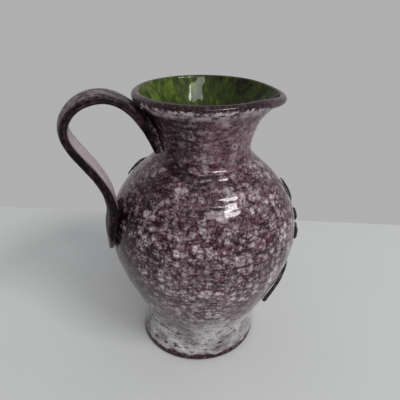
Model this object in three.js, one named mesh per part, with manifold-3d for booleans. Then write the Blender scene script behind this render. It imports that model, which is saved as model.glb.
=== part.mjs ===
// Hand-thrown ceramic jug: a foot, a belly, a flared neck with a pulled spout, a strap handle and a
// flowering branch of applied clay. Millimetres, +Z up. The origin is the centre of the flat underside
// of the foot, +X points to the spout, and the branch goes round the +Y side.
import * as THREE from 'three';
import { mergeVertices } from 'three/addons/utils/BufferGeometryUtils.js';
import Module from 'manifold-3d';

const wasm = await Module();
wasm.setup();

// Overall heights, all above the underside of the foot
const RIM_HEIGHT = 200;
const NECK_SEAT = 155.5;
const BELLY_HEIGHT = 98;
const FOOT_HEIGHT = 26;

// Radii of the outside
const FOOT_RADIUS = 46;
const FOOT_TOP_RADIUS = 44.8;
const WAIST_RADIUS = 44.5;
const BELLY_RADIUS = 69.4;
const NECK_BASE_RADIUS = 32.5;
const RIM_RADIUS = 45;

// Walls and joints
const WALL = 6;
const FLOOR_THICKNESS = 8;
const FOOT_BASE = 12;
const SPIGOT_RADIUS = 33;
const LUTING_GAP = 0.3;
const AXIS_OFFSET = 3.4;

// Roundness of the belly: the lengths of its curve's handles and the slopes where it starts and ends
const WAIST_SLOPE = THREE.MathUtils.degToRad(20);
const WAIST_PULL = 18;
const BELLY_PULL_LOW = 26;
const BELLY_PULL_HIGH = 29;
const SHOULDER_SLOPE = THREE.MathUtils.degToRad(53);
const SHOULDER_PULL = 17;

// Foot
const FOOT_EDGE_ROUND = 1.6;
const FOOT_SEAM_ROUND = 0.4;
const FOOT_HOLLOW = 0.9;

// Lip and spout
const LIP_RADIUS = 3.4;
const LIP_UNDERCUT = THREE.MathUtils.degToRad(105);
const LIP_INNER_EDGE = THREE.MathUtils.degToRad(116);
const NECK_BASE_PULL = 15;
const NECK_RIM_PULL = 13;
const NECK_RIM_SLOPE = THREE.MathUtils.degToRad(24);
const SPOUT_REACH = 6.6;
const SPOUT_DIP = 3;
const SPOUT_HALF_ANGLE = THREE.MathUtils.degToRad(48);
const SPOUT_DEPTH = 20;

// Strap handle, in an upright plane that stands a little to one side of the body's axis
const HANDLE_AZIMUTH = THREE.MathUtils.degToRad(195);
const HANDLE_SHIFT = 8;
const HANDLE_ABOVE_RIM = 0.2;
const HANDLE_OVERHANG = 22;
const HANDLE_SHOULDER_DROP = 19;
const TAIL_ABOVE_SEAT = 5.5;
const JOINT_ABOVE_BELLY = 24;
const TONGUE_BELOW_BELLY = 5.5;
const STRAP_WIDTH = 26;
const STRAP_EDGE = 4.6;
const STRAP_LOWER_EDGE = 5.9;
const STRAP_CROWN = 2.2;
const STRAP_ROOT_EDGE = 9;
const TAIL_WIDTH = 9;
const STRAP_FLUTE = 0.5;
const FLUTE_PLACE = 0.45;
const FLUTE_SPREAD = 0.15;
const EDGE_GROOVE = 0.7;

// Bends of the strap, each as a share of the run it shapes, and where along the strap its section changes
const BEND = { tailOut: 0.25, tailUp: 0.58, crest: 0.58, arch: 0.55, fall: 0.24, sweep: 0.5 };
const TAPER_END = 0.2;
const ROOT_END = 0.26;
const LOWER_START = 0.4;
const LOWER_END = 0.62;
const TONGUE_SHARE = 0.1;

// Applied branch
const STEM_WIDTH = 4.6;
const STEM_RISE = 3.2;
const TWIG_WIDTH = 3.4;
const TWIG_RISE = 2.4;
const LEAF_RISE = 2.3;
const LEAF_LENGTH = 26;
const LONG_LEAF = 30;
const LEAF_WIDTH = 12;
const LEAF_ROOT = 0.8;
const PETAL_LENGTH = 12.5;
const PETAL_WIDTH = 11.5;
const PETAL_RISE = 2.5;
const PETALS_PER_BLOSSOM = 5;
const EYE_RADIUS = 4.2;
const EYE_RISE = 3.8;
const SPRIG_GAP = 0.5;
const TWIG_TAPER = 0.35;
const LEAF_VEIN = 0.3;
const PETAL_VEIN = 0.2;
const VEIN_SHARE = 0.36;
const BLUNT_EDGE = 0.35;

// Fineness of the facets
const ROUND_STEPS = 64;
const BELLY_STEPS = 7;
const HOLLOW_STEPS = 4;
const NECK_STEPS = 6;
const LIP_STEPS = 7;
const PROFILE_SAMPLES = 160;
const STRAP_STEPS = 44;
const STEM_STEPS = 26;
const TWIG_STEPS = 28;
const LEAF_STEPS = 10;
const PETAL_STEPS = 7;
const EYE_STEPS = 8;

const GLAZE = { aubergine: 0x6b5660, dark: 0x2a1d22, white: 0xb9b2b3 };

const vec2 = (x, y) => new THREE.Vector2(x, y);

function ceramic(colour, roughness) {
  return new THREE.MeshStandardMaterial({ color: colour, roughness, metalness: 0 });
}

// A solid of revolution about Z from a profile of (radius, height) points, listed anticlockwise
function turned(profile) {
  const geometry = new THREE.LatheGeometry(profile, ROUND_STEPS);
  geometry.rotateX(Math.PI / 2);
  return welded(geometry);
}

function welded(geometry) {
  geometry.deleteAttribute('normal');
  geometry.deleteAttribute('uv');
  return mergeVertices(geometry, 1e-4);
}

function toSolid(geometry) {
  return new wasm.Manifold(new wasm.Mesh({
    numProp: 3,
    vertProperties: new Float32Array(geometry.attributes.position.array),
    triVerts: new Uint32Array(geometry.index.array),
  }));
}

function toGeometry(solid) {
  const { vertProperties, triVerts } = solid.getMesh();
  const geometry = new THREE.BufferGeometry();
  geometry.setAttribute('position', new THREE.BufferAttribute(vertProperties, 3));
  geometry.setIndex(new THREE.BufferAttribute(triVerts, 1));
  return geometry;
}

// A closed skin over rings of equal length, with each end drawn together in one point
function loft(rings, startPoint, endPoint) {
  const count = rings[0].length;
  const points = [...rings.flat(), startPoint, endPoint];
  const start = points.length - 2;
  const end = points.length - 1;
  const lastRing = (rings.length - 1) * count;
  const faces = [];
  for (let j = 0; j < count; j++) {
    const k = (j + 1) % count;
    faces.push(start, k, j);
    faces.push(end, lastRing + j, lastRing + k);
    for (let base = 0; base < lastRing; base += count) {
      faces.push(base + j, base + k, base + count + k);
      faces.push(base + j, base + count + k, base + count + j);
    }
  }
  const geometry = new THREE.BufferGeometry().setFromPoints(points);
  geometry.setIndex(faces);
  return geometry;
}

function middleOf(ring) {
  const sum = ring.reduce((total, point) => total.add(point), new THREE.Vector3());
  return sum.divideScalar(ring.length);
}

// Outside of the belly from the waist to the neck seat
const waist = vec2(WAIST_RADIUS, FOOT_HEIGHT + LUTING_GAP);
const belly = vec2(BELLY_RADIUS, BELLY_HEIGHT);
const shoulder = vec2(NECK_BASE_RADIUS, NECK_SEAT);
const lowerBelly = new THREE.CubicBezierCurve(
  waist,
  vec2(Math.sin(WAIST_SLOPE), Math.cos(WAIST_SLOPE)).multiplyScalar(WAIST_PULL).add(waist),
  vec2(BELLY_RADIUS, BELLY_HEIGHT - BELLY_PULL_LOW),
  belly,
);
const upperBelly = new THREE.CubicBezierCurve(
  belly,
  vec2(BELLY_RADIUS, BELLY_HEIGHT + BELLY_PULL_HIGH),
  vec2(Math.sin(SHOULDER_SLOPE), -Math.cos(SHOULDER_SLOPE)).multiplyScalar(SHOULDER_PULL).add(shoulder),
  shoulder,
);

// Outside of the neck from its seat to the crease under the rolled lip
const lipCentre = vec2(RIM_RADIUS, RIM_HEIGHT - LIP_RADIUS);
const onLip = (angle, radius) => vec2(
  lipCentre.x + radius * Math.cos(angle),
  lipCentre.y + radius * Math.sin(angle),
);
const neckFoot = vec2(NECK_BASE_RADIUS, NECK_SEAT + LUTING_GAP);
const crease = onLip(-LIP_UNDERCUT, LIP_RADIUS);
const neckFlare = new THREE.CubicBezierCurve(
  neckFoot,
  vec2(NECK_BASE_RADIUS, neckFoot.y + NECK_BASE_PULL),
  vec2(-Math.sin(NECK_RIM_SLOPE), -Math.cos(NECK_RIM_SLOPE)).multiplyScalar(NECK_RIM_PULL).add(crease),
  crease,
);

// Radius at a height, read along a rising profile
function radiusReader(points) {
  return (height) => {
    const i = THREE.MathUtils.clamp(points.findIndex((p) => p.y > height), 1, points.length - 1);
    const t = (height - points[i - 1].y) / (points[i].y - points[i - 1].y);
    return THREE.MathUtils.lerp(points[i - 1].x, points[i].x, THREE.MathUtils.clamp(t, 0, 1));
  };
}
const bellyProfile = (steps) => [...lowerBelly.getPoints(steps), ...upperBelly.getPoints(steps).slice(1)];
const bellyOutside = bellyProfile(BELLY_STEPS);
const bellyRadius = radiusReader(bellyProfile(PROFILE_SAMPLES));
const neckRadius = radiusReader(neckFlare.getPoints(PROFILE_SAMPLES));
const neckOutside = neckFlare.getPoints(NECK_STEPS);

// Each point of a rising profile moved square to it, outwards for a positive distance
function offsetProfile(points, distance) {
  return points.map((point, i) => {
    const before = points[Math.max(i - 1, 0)];
    const after = points[Math.min(i + 1, points.length - 1)];
    const along = after.clone().sub(before).normalize();
    return vec2(point.x + along.y * distance, point.y - along.x * distance);
  });
}

function lipArc(fromAngle, toAngle, radius) {
  return Array.from({ length: LIP_STEPS + 1 }, (_, i) => (
    onLip(THREE.MathUtils.lerp(fromAngle, toAngle, i / LIP_STEPS), radius)
  ));
}

// Leans the foot as it rises, from its own axis at the base to the belly's axis at the seam
function leanFoot(geometry) {
  const positions = geometry.attributes.position;
  for (let i = 0; i < positions.count; i++) {
    const lean = THREE.MathUtils.smoothstep(positions.getZ(i), FOOT_EDGE_ROUND, FOOT_HEIGHT);
    positions.setX(i, positions.getX(i) + AXIS_OFFSET * lean);
  }
  return geometry;
}

// Foot: a thick turned pedestal with a flat underside and a socket for the belly's spigot
function footGeometry(bellyEnvelope) {
  const side = new THREE.QuadraticBezierCurve(
    vec2(FOOT_RADIUS, FOOT_EDGE_ROUND),
    vec2((FOOT_RADIUS + FOOT_TOP_RADIUS) / 2 - 2 * FOOT_HOLLOW, FOOT_HEIGHT / 2),
    vec2(FOOT_TOP_RADIUS, FOOT_HEIGHT - FOOT_SEAM_ROUND),
  );
  const pedestal = turned([
    vec2(0, 0),
    vec2(FOOT_RADIUS - FOOT_EDGE_ROUND, 0),
    ...side.getPoints(6),
    vec2(FOOT_TOP_RADIUS - FOOT_SEAM_ROUND, FOOT_HEIGHT),
    vec2(0, FOOT_HEIGHT),
  ]);
  return toGeometry(toSolid(leanFoot(pedestal)).subtract(bellyEnvelope));
}

// Belly: a thrown shell with its floor on a spigot that sits in the foot
function bellyGeometry() {
  const floorUnder = FOOT_BASE + LUTING_GAP;
  const floorTop = floorUnder + FLOOR_THICKNESS;
  const bore = NECK_BASE_RADIUS - WALL;
  const inside = offsetProfile(bellyProfile(HOLLOW_STEPS), -WALL).slice(0, -1).reverse();
  const wellEdge = inside[inside.length - 1];
  return turned([
    vec2(0, floorUnder),
    vec2(SPIGOT_RADIUS, floorUnder),
    vec2(SPIGOT_RADIUS, waist.y),
    ...bellyOutside,
    vec2(bore, NECK_SEAT),
    ...inside,
    vec2((wellEdge.x + SPIGOT_RADIUS) / 2, (wellEdge.y + floorTop) / 2 - 1),
    vec2(SPIGOT_RADIUS - WALL / 2, floorTop + 1),
    vec2(0, floorTop),
  ]);
}

// The belly's outside with the luting gap all round, without its hollow
function bellyEnvelopeGeometry() {
  const grown = offsetProfile(bellyOutside, LUTING_GAP);
  return turned([
    vec2(0, FOOT_BASE),
    vec2(SPIGOT_RADIUS + LUTING_GAP, FOOT_BASE),
    vec2(SPIGOT_RADIUS + LUTING_GAP, FOOT_HEIGHT),
    vec2(WAIST_RADIUS + LUTING_GAP, FOOT_HEIGHT),
    ...grown.slice(1),
    vec2(NECK_BASE_RADIUS, NECK_SEAT + LUTING_GAP),
    vec2(0, NECK_SEAT + LUTING_GAP),
  ]);
}

// Draws the rim out and down at the spout, less and less towards the root of the spout
function pullSpout(geometry) {
  const positions = geometry.attributes.position;
  for (let i = 0; i < positions.count; i++) {
    const angle = Math.atan2(positions.getY(i), positions.getX(i));
    const turn = Math.min(Math.abs(angle) / SPOUT_HALF_ANGLE, 1);
    const rise = (positions.getZ(i) - RIM_HEIGHT + SPOUT_DEPTH) / SPOUT_DEPTH;
    const pull = Math.cos(turn * Math.PI / 2) ** 2 * THREE.MathUtils.smoothstep(rise, 0, 1);
    positions.setX(i, positions.getX(i) + SPOUT_REACH * pull * Math.cos(angle));
    positions.setY(i, positions.getY(i) + SPOUT_REACH * pull * Math.sin(angle));
    positions.setZ(i, positions.getZ(i) - SPOUT_DIP * pull);
  }
  return geometry;
}

// Neck: a flared collar with a rolled lip, standing on the shoulder
function neckGeometry() {
  const bore = vec2(NECK_BASE_RADIUS - WALL, neckFoot.y);
  const lip = lipArc(-LIP_UNDERCUT, LIP_INNER_EDGE, LIP_RADIUS);
  const lipInside = lip[lip.length - 1];
  const inside = new THREE.CubicBezierCurve(
    lipInside,
    vec2(-Math.sin(NECK_RIM_SLOPE), -Math.cos(NECK_RIM_SLOPE)).multiplyScalar(NECK_RIM_PULL).add(lipInside),
    vec2(bore.x, bore.y + NECK_BASE_PULL),
    bore,
  );
  return pullSpout(turned([
    ...neckOutside,
    ...lip.slice(1),
    ...inside.getPoints(NECK_STEPS).slice(1),
    neckOutside[0],
  ]));
}

// The neck's outside with the luting gap all round, without its hollow or spout
function neckEnvelopeGeometry() {
  const grown = offsetProfile(neckOutside, LUTING_GAP);
  return turned([
    vec2(0, NECK_SEAT),
    vec2(NECK_BASE_RADIUS + LUTING_GAP, NECK_SEAT),
    ...grown.slice(1, -1),
    ...lipArc(-LIP_UNDERCUT, Math.PI / 2, LIP_RADIUS + LUTING_GAP),
    vec2(0, RIM_HEIGHT + LUTING_GAP),
  ]);
}

// The middle of the strap in its own plane, as (reach from the axis, height), from the tail on the neck
// over the arch and down to the tongue on the belly
function strapPath() {
  const reachOn = (radius) => Math.sqrt(radius ** 2 - HANDLE_SHIFT ** 2);
  const onNeck = (height) => vec2(reachOn(neckRadius(height)) + STRAP_EDGE / 2, height);
  const onBelly = (height) => vec2(reachOn(bellyRadius(height)) + STRAP_EDGE / 2, height);
  const tail = onNeck(NECK_SEAT + TAIL_ABOVE_SEAT);
  const reach = BELLY_RADIUS + HANDLE_OVERHANG;
  const top = vec2((RIM_RADIUS + reach) / 2, RIM_HEIGHT + HANDLE_ABOVE_RIM);
  const out = vec2(reach, top.y - HANDLE_SHOULDER_DROP);
  const joint = onBelly(BELLY_HEIGHT + JOINT_ABOVE_BELLY);
  const tongue = onBelly(BELLY_HEIGHT - TONGUE_BELOW_BELLY);
  const { lerp } = THREE.MathUtils;
  const path = new THREE.CurvePath();
  path.add(new THREE.CubicBezierCurve(
    tail,
    vec2(lerp(tail.x, top.x, BEND.tailOut), lerp(tail.y, top.y, BEND.tailUp)),
    vec2(lerp(tail.x, top.x, BEND.crest), top.y),
    top,
  ));
  path.add(new THREE.CubicBezierCurve(
    top,
    vec2(lerp(top.x, out.x, BEND.arch), top.y),
    vec2(out.x, lerp(out.y, top.y, BEND.arch)),
    out,
  ));
  path.add(new THREE.CubicBezierCurve(
    out,
    vec2(out.x, lerp(out.y, joint.y, BEND.fall)),
    vec2(joint.x, lerp(joint.y, out.y, BEND.sweep)),
    joint,
  ));
  path.add(new THREE.LineCurve(joint, tongue));
  return path;
}

// Handle: a pulled strap with a crowned and fluted outer face and a groove along each edge
function handleGeometry(cutters) {
  const path = strapPath();
  const points = path.getSpacedPoints(STRAP_STEPS);
  const lengths = points.map((_, i) => i / STRAP_STEPS);
  const outwards = vec2(Math.cos(HANDLE_AZIMUTH), Math.sin(HANDLE_AZIMUTH));
  const across = vec2(-outwards.y, outwards.x);
  const place = (reach, height, side) => new THREE.Vector3(
    outwards.x * reach + across.x * side,
    outwards.y * reach + across.y * side,
    height,
  );
  const crownAt = (v) => (1 - v * v) * STRAP_CROWN
    - STRAP_FLUTE * Math.exp(-(((Math.abs(v) - FLUTE_PLACE) / FLUTE_SPREAD) ** 2));
  const faceSteps = [-0.9, -0.65, -FLUTE_PLACE, -0.25, 0, 0.25, FLUTE_PLACE, 0.65, 0.9];
  const backSteps = [0.9, 0.45, 0, -0.45, -0.9];
  const rings = points.map((point, i) => {
    const before = points[Math.max(i - 1, 0)];
    const after = points[Math.min(i + 1, STRAP_STEPS)];
    const along = after.clone().sub(before).normalize();
    const normal = vec2(-along.y, along.x);
    const root = 1 - THREE.MathUtils.smoothstep(lengths[i], 0, ROOT_END);
    const lower = THREE.MathUtils.smoothstep(lengths[i], LOWER_START, LOWER_END);
    const tongue = Math.min((1 - lengths[i]) / TONGUE_SHARE, 1);
    const taper = THREE.MathUtils.smoothstep(lengths[i], 0, TAPER_END);
    const fullWidth = THREE.MathUtils.lerp(TAIL_WIDTH, STRAP_WIDTH, taper);
    const halfWidth = fullWidth / 2 * (0.35 + 0.65 * Math.sqrt(1 - (1 - tongue) ** 2));
    const edge = STRAP_EDGE * (0.5 + 0.5 * tongue);
    const rootSwell = root * (STRAP_ROOT_EDGE - STRAP_EDGE);
    const lowerSwell = lower * tongue * (STRAP_LOWER_EDGE - STRAP_EDGE);
    const outer = edge / 2 + rootSwell + lowerSwell;
    const at = (v, lift) => place(
      point.x + normal.x * lift,
      point.y + normal.y * lift,
      HANDLE_SHIFT + v * halfWidth,
    );
    const groove = 1 - EDGE_GROOVE / halfWidth;
    const side = (sign) => [at(sign, outer * 0.5), at(sign * groove, 0), at(sign, -edge * 0.3)];
    return [
      ...faceSteps.map((v) => at(v, outer + crownAt(v) * tongue)),
      ...side(1),
      ...backSteps.map((v) => at(v, -edge / 2)),
      ...side(-1).reverse(),
    ].reverse();
  });
  const strap = loft(rings, middleOf(rings[0]), middleOf(rings[rings.length - 1]));
  return toGeometry(cutters.reduce((solid, cutter) => solid.subtract(cutter), toSolid(strap)));
}

// A spot on the belly: its azimuth and heading in radians and its height. Heading 0 runs level round the
// belly towards larger azimuths, and a quarter turn runs straight up
function spot(azimuthDegrees, shareUp, headingDegrees = 0) {
  return {
    azimuth: THREE.MathUtils.degToRad(azimuthDegrees),
    height: THREE.MathUtils.lerp(FOOT_HEIGHT, NECK_SEAT, shareUp),
    heading: THREE.MathUtils.degToRad(headingDegrees),
  };
}

function bellySlope(height) {
  const step = 0.5;
  return (bellyRadius(height + step) - bellyRadius(height - step)) / (2 * step);
}

function walk(from, heading, distance) {
  const slope = bellySlope(from.height);
  return {
    azimuth: from.azimuth + Math.cos(heading) * distance / bellyRadius(from.height),
    height: from.height + Math.sin(heading) * distance / Math.hypot(1, slope),
    heading,
  };
}

function lifted(at, lift) {
  const slope = bellySlope(at.height);
  const steep = Math.hypot(1, slope);
  const reach = bellyRadius(at.height) + lift / steep;
  return new THREE.Vector3(
    reach * Math.cos(at.azimuth),
    reach * Math.sin(at.azimuth),
    at.height - lift * slope / steep,
  );
}

// A pad of clay pressed on the belly along a row of spots: its foot follows the belly at the luting gap,
// its back is domed over blunt edges, and a vein may be drawn down its middle
function pressedPad(spots, halfWidthAt, riseAt, vein) {
  const backSteps = [-1, -0.72, -VEIN_SHARE, 0, VEIN_SHARE, 0.72, 1];
  const footSteps = [1, 0.34, -0.34, -1];
  const domeAt = (v) => BLUNT_EDGE + (1 - BLUNT_EDGE) * Math.sqrt(1 - v * v);
  const veinAt = (v) => 1 - vein * Math.max(0, 1 - Math.abs(v) / VEIN_SHARE);
  const rings = spots.map((here, i) => {
    const t = i / (spots.length - 1);
    const across = (v) => walk(here, here.heading + Math.PI / 2, v * halfWidthAt(t));
    const back = (v) => lifted(across(v), LUTING_GAP + riseAt(t) * domeAt(v) * veinAt(v));
    const foot = (v) => lifted(across(v), LUTING_GAP);
    return [...backSteps.map(back), ...footSteps.map(foot)].reverse();
  });
  return loft(rings, middleOf(rings[0]), middleOf(rings[rings.length - 1]));
}

// Spots along a smooth line through (azimuth in degrees, height) marks, with the heading at each
function trail(marks, steps) {
  const curve = new THREE.SplineCurve(marks);
  return curve.getPoints(steps).map((mark, i) => {
    const along = curve.getTangent(i / steps);
    const level = THREE.MathUtils.degToRad(along.x) * bellyRadius(mark.y);
    const climb = along.y * Math.hypot(1, bellySlope(mark.y));
    return {
      azimuth: THREE.MathUtils.degToRad(mark.x),
      height: mark.y,
      heading: Math.atan2(climb, level),
    };
  });
}

const mark = ({ azimuth, height }) => vec2(THREE.MathUtils.radToDeg(azimuth), height);

// Spots of a leaf or petal that starts at a spot, keeps its length on the belly and may curl sideways
function blade(start, length, curlDegrees, steps) {
  const spots = [start];
  const curl = THREE.MathUtils.degToRad(curlDegrees) / steps;
  for (let i = 0; i < steps; i++) {
    const last = spots[i];
    const next = walk(last, last.heading, length / steps);
    spots.push({ ...next, heading: last.heading + curl });
  }
  return spots;
}

// The spot beside a twig where something grows out of it, at a share of its length and at an angle,
// to its left for a positive angle and to its right for a negative one
function offshoot(twig, share, angleDegrees, rootWidth) {
  const here = twig.spots[Math.round(share * (twig.spots.length - 1))];
  const angle = THREE.MathUtils.degToRad(angleDegrees);
  const sideways = here.heading + Math.sign(angle) * Math.PI / 2;
  const start = walk(here, sideways, (twig.width + rootWidth) / 2 + SPRIG_GAP);
  return { ...start, heading: here.heading + angle };
}

function twigGeometry({ spots, width, rise }) {
  const taper = (t) => 1 - TWIG_TAPER * t;
  return pressedPad(spots, (t) => width / 2 * taper(t), (t) => rise * taper(t), 0);
}

function leafGeometry(start, length, curl) {
  const swell = (t) => Math.max(Math.sin(Math.PI * t ** 0.9), LEAF_ROOT / LEAF_WIDTH);
  const spots = blade(start, length, curl, LEAF_STEPS);
  const halfWidthAt = (t) => LEAF_WIDTH / 2 * swell(t);
  return pressedPad(spots, halfWidthAt, (t) => LEAF_RISE * (0.45 + 0.55 * swell(t)), LEAF_VEIN);
}

function petalGeometry(start) {
  const swell = (t) => Math.max(Math.sin(Math.PI * (0.1 + 0.84 * t) ** 1.5), 0.12);
  const spots = blade(start, PETAL_LENGTH, 0, PETAL_STEPS);
  const halfWidthAt = (t) => PETAL_WIDTH / 2 * swell(t);
  return pressedPad(spots, halfWidthAt, (t) => PETAL_RISE * (0.4 + 0.6 * swell(t)), PETAL_VEIN);
}

function eyeGeometry(centre) {
  const round = (t) => Math.max(Math.sqrt(1 - (2 * t - 1) ** 2), 0.2);
  const start = walk(centre, centre.heading, -EYE_RADIUS);
  const spots = blade(start, 2 * EYE_RADIUS, 0, EYE_STEPS);
  return pressedPad(spots, (t) => EYE_RADIUS * round(t), (t) => EYE_RISE * (0.35 + 0.65 * round(t)), 0);
}

// The spot in the notch at the edge of a blossom, and the heading of what grows there
function blossomEdge(centre, notchDegrees, headingDegrees = 0) {
  const reach = EYE_RADIUS + PETAL_LENGTH + 2 * SPRIG_GAP;
  const edge = walk(centre, THREE.MathUtils.degToRad(notchDegrees), reach);
  return { ...edge, heading: THREE.MathUtils.degToRad(headingDegrees) };
}

// The branch: a stem from its cut end low on the spout side to the blossom at the back, and a twig that
// leaves it and goes on round the shoulder to the handle side
const rightCentre = spot(1.5, 0.525, 28);
const backCentre = spot(96, 0.625, 54);
const stem = {
  width: STEM_WIDTH,
  rise: STEM_RISE,
  spots: trail([
    mark(spot(-31, 0.155)),
    mark(spot(-27, 0.27)),
    mark(spot(-12, 0.34)),
    mark(spot(16, 0.345)),
    mark(spot(46, 0.415)),
    mark(blossomEdge(backCentre, 234)),
  ], STEM_STEPS),
};
const twig = {
  width: TWIG_WIDTH,
  rise: TWIG_RISE,
  spots: trail([
    mark(offshoot(stem, 0.64, 70, TWIG_WIDTH)),
    mark(spot(45, 0.6)),
    mark(spot(57, 0.765)),
    mark(spot(80, 0.865)),
    mark(spot(112, 0.9)),
    mark(spot(146, 0.875)),
  ], TWIG_STEPS),
};
const lastSpot = twig.spots[TWIG_STEPS];
const twigEnd = walk(lastSpot, lastSpot.heading, SPRIG_GAP);
const blossoms = [
  { name: 'right_blossom', centre: rightCentre },
  { name: 'back_blossom', centre: backCentre },
];
const leaves = [
  { name: 'leaf_right', start: blossomEdge(rightCentre, 64, 82), length: LEAF_LENGTH, curl: 32 },
  { name: 'leaf_right_shoulder', start: offshoot(twig, 0.42, 75, LEAF_ROOT), length: LONG_LEAF, curl: 20 },
  { name: 'leaf_low_right', start: offshoot(stem, 0.52, -58, LEAF_ROOT), length: LEAF_LENGTH, curl: 20 },
  { name: 'leaf_low_back', start: offshoot(stem, 0.76, -58, LEAF_ROOT), length: LONG_LEAF, curl: 26 },
  { name: 'leaf_back', start: offshoot(twig, 0.74, -55, LEAF_ROOT), length: LEAF_LENGTH, curl: 22 },
  { name: 'leaf_left', start: offshoot(twig, 0.88, -50, LEAF_ROOT), length: LEAF_LENGTH, curl: -8 },
  { name: 'leaf_left_shoulder', start: twigEnd, length: LEAF_LENGTH, curl: -16 },
];

const jug = new THREE.Group();
const upper = new THREE.Group();
upper.position.x = AXIS_OFFSET;
jug.add(upper);

function addPiece(parent, name, geometry, material) {
  const mesh = new THREE.Mesh(geometry, material);
  mesh.name = name;
  parent.add(mesh);
}

const bellyCutter = toSolid(bellyEnvelopeGeometry());
const neckCutter = toSolid(neckEnvelopeGeometry());
const mottled = ceramic(GLAZE.aubergine, 0.25);
const dark = ceramic(GLAZE.dark, 0.2);
const pale = ceramic(GLAZE.white, 0.3);

addPiece(jug, 'thrown_foot', footGeometry(bellyCutter.translate([AXIS_OFFSET, 0, 0])), pale);
addPiece(upper, 'thrown_belly', bellyGeometry(), mottled);
addPiece(upper, 'neck_collar', neckGeometry(), mottled);
addPiece(upper, 'strap_handle', handleGeometry([neckCutter, bellyCutter]), dark);

addPiece(upper, 'branch_stem', twigGeometry(stem), dark);
addPiece(upper, 'upper_twig', twigGeometry(twig), dark);
for (const { name, start, length, curl } of leaves) {
  addPiece(upper, name, leafGeometry(start, length, curl), dark);
}
for (const { name, centre } of blossoms) {
  addPiece(upper, `${name}_eye`, eyeGeometry(centre), dark);
  for (let i = 0; i < PETALS_PER_BLOSSOM; i++) {
    const heading = centre.heading + i * 2 * Math.PI / PETALS_PER_BLOSSOM;
    const start = walk(centre, heading, EYE_RADIUS + SPRIG_GAP);
    addPiece(upper, `${name}_petal_${i + 1}`, petalGeometry(start), dark);
  }
}

export default jug;
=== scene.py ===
"""Looks of a hand-thrown glazed jug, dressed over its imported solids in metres, +Z up, spout along +X."""

import logging
import math
from abc import ABC, abstractmethod
from collections.abc import Iterable
from dataclasses import dataclass
from enum import Enum
from functools import partial
from typing import ClassVar

import bmesh
import bpy
import numpy as np
from mathutils import Matrix, Vector


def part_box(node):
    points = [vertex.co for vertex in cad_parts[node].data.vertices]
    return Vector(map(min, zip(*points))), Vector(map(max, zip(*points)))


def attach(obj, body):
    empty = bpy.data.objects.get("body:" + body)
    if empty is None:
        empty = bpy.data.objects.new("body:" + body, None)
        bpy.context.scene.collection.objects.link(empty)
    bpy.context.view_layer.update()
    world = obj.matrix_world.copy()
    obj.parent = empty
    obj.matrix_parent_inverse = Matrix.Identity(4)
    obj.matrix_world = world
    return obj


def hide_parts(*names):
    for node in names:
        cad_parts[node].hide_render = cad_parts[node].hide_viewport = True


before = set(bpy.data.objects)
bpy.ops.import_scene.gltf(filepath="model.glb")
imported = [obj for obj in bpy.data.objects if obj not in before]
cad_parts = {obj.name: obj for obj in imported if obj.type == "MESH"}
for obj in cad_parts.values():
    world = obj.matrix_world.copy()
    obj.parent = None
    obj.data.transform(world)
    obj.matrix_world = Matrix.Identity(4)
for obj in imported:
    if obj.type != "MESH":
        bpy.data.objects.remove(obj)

MM = 0.001
LOG = logging.getLogger("jug")
BODY = "root"

# Clear glass of a fired glaze, and the faint gloss of the coloured body under it
GLASS_IOR = 1.5
GLASS_ROUGH = 0.05
BODY_GLOSS = 0.15

# Distances in metres under which points are one point, and under which an edge has no use
WELD = 1e-6
SLIVER = 1e-4

Pair = tuple[float, float]
Point = tuple[float, float]
Outline = list[Point]
Colour = tuple[float, float, float, float]
Value = bpy.types.Node | bpy.types.NodeSocket | float | tuple[float, ...]
Hue = str | bpy.types.Node
Layers = tuple[tuple[bpy.types.Node, float], ...]

# Settings that many nodes share
SMOOTH = {"interpolation_type": "SMOOTHSTEP"}
TIMES = {"operation": "MULTIPLY"}
TIMES_PLUS = {"operation": "MULTIPLY_ADD"}
COLOURS = {"data_type": "RGBA"}


class Slot(Enum):
    """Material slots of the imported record."""

    FOOT = "foot_glaze"
    BELLY = "body_glaze"
    NECK = "neck_glaze"
    HANDLE = "handle_glaze"
    SPRIG = "sprig_glaze"


class Zone(Enum):
    """Glazed zones of a turned piece, in the order of its finishes."""

    OUTSIDE = 0
    LIP = 1
    INSIDE = 2


def linear(hex_colour: str) -> Colour:
    """Turns an sRGB hex colour into linear RGBA.

    Args:
        hex_colour: Colour as "#rrggbb".

    Returns:
        The linear colour with full alpha.
    """
    channels = [int(hex_colour[i:i + 2], 16) / 255 for i in (1, 3, 5)]
    red, green, blue = [c / 12.92 if c <= 0.04045 else ((c + 0.055) / 1.055) ** 2.4 for c in channels]
    return (red, green, blue, 1.0)


def metres(sizes_mm: Iterable[float]) -> tuple[float, ...]:
    """Turns sizes in millimetres into metres."""
    return tuple(size * MM for size in sizes_mm)


def smoothstep(low: float, high: float, value: np.ndarray | float) -> np.ndarray | float:
    """Goes smoothly from 0 at low to 1 at high, which may lie below low."""
    t = np.clip((value - low) / (high - low), 0, 1)
    return t * t * (3 - 2 * t)


def pulled(point: Point, length: float, lean: float) -> Point:
    """Moves a point up a line that leans outwards by an angle in degrees."""
    angle = math.radians(lean)
    return (point[0] + length * math.sin(angle), point[1] + length * math.cos(angle))


def bezier(points: Outline, steps: int) -> Outline:
    """Draws a cubic curve.

    Args:
        points: Its two ends, with the two points that pull it between them.
        steps: Number of straight steps.

    Returns:
        Points on the curve, both ends included.
    """
    corners = np.array(points)
    t = np.linspace(0, 1, steps + 1)[:, None]
    weights = np.hstack([(1 - t) ** 3, 3 * (1 - t) ** 2 * t, 3 * (1 - t) * t ** 2, t ** 3])
    return [tuple(p) for p in weights @ corners]


def arc(centre: Point, radius: float, start: float, end: float, steps: int) -> Outline:
    """Draws a round stretch between two angles in degrees, both ends included."""
    angles = np.radians(np.linspace(start, end, steps + 1))
    return [(centre[0] + radius * math.cos(a), centre[1] + radius * math.sin(a)) for a in angles]


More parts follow.
